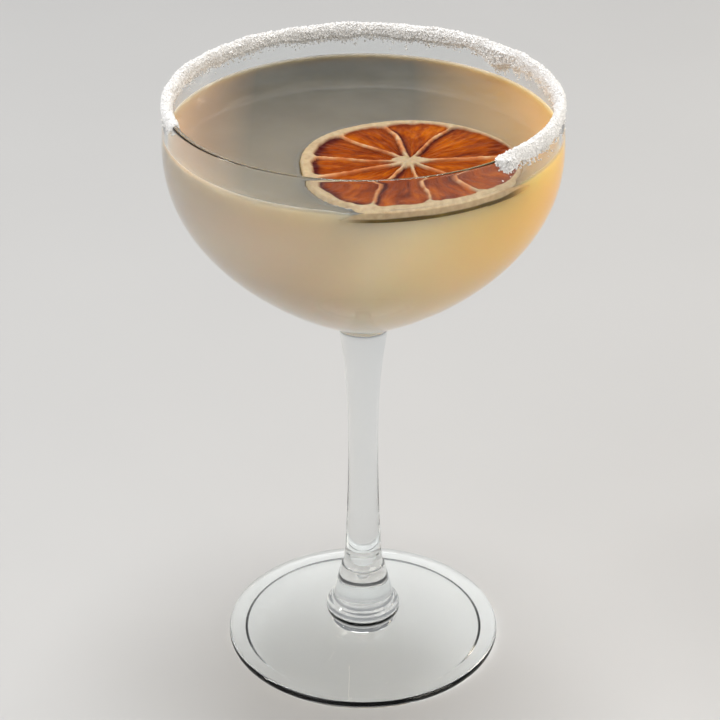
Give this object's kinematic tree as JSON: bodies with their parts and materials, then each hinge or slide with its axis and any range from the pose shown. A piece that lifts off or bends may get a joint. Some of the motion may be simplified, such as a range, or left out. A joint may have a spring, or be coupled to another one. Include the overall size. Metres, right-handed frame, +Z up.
{
  "type": "margarita cocktail",
  "caption": "Cloudy cocktail in a stemmed coupe glass with a salted rim and a dried citrus wheel floating in it",
  "frame": {"origin": "centre of the foot's underside, on the table", "axes": "+Z up along the axis of the glass, -Y towards the front, +X to the right"},
  "size_m": [0.094, 0.094, 0.151],
  "materials": {
    "glass": "clear, polished",
    "drink": "cloudy liquid, wet",
    "citrus": "dried fruit, pale pith and olive rind",
    "salt": "fine white crystals"
  },
  "bodies": {
    "root": {"glass": "glass", "drink": "drink", "citrus_wheel": "citrus", "salt_rim": "salt"}
  },
  "joints": []
}
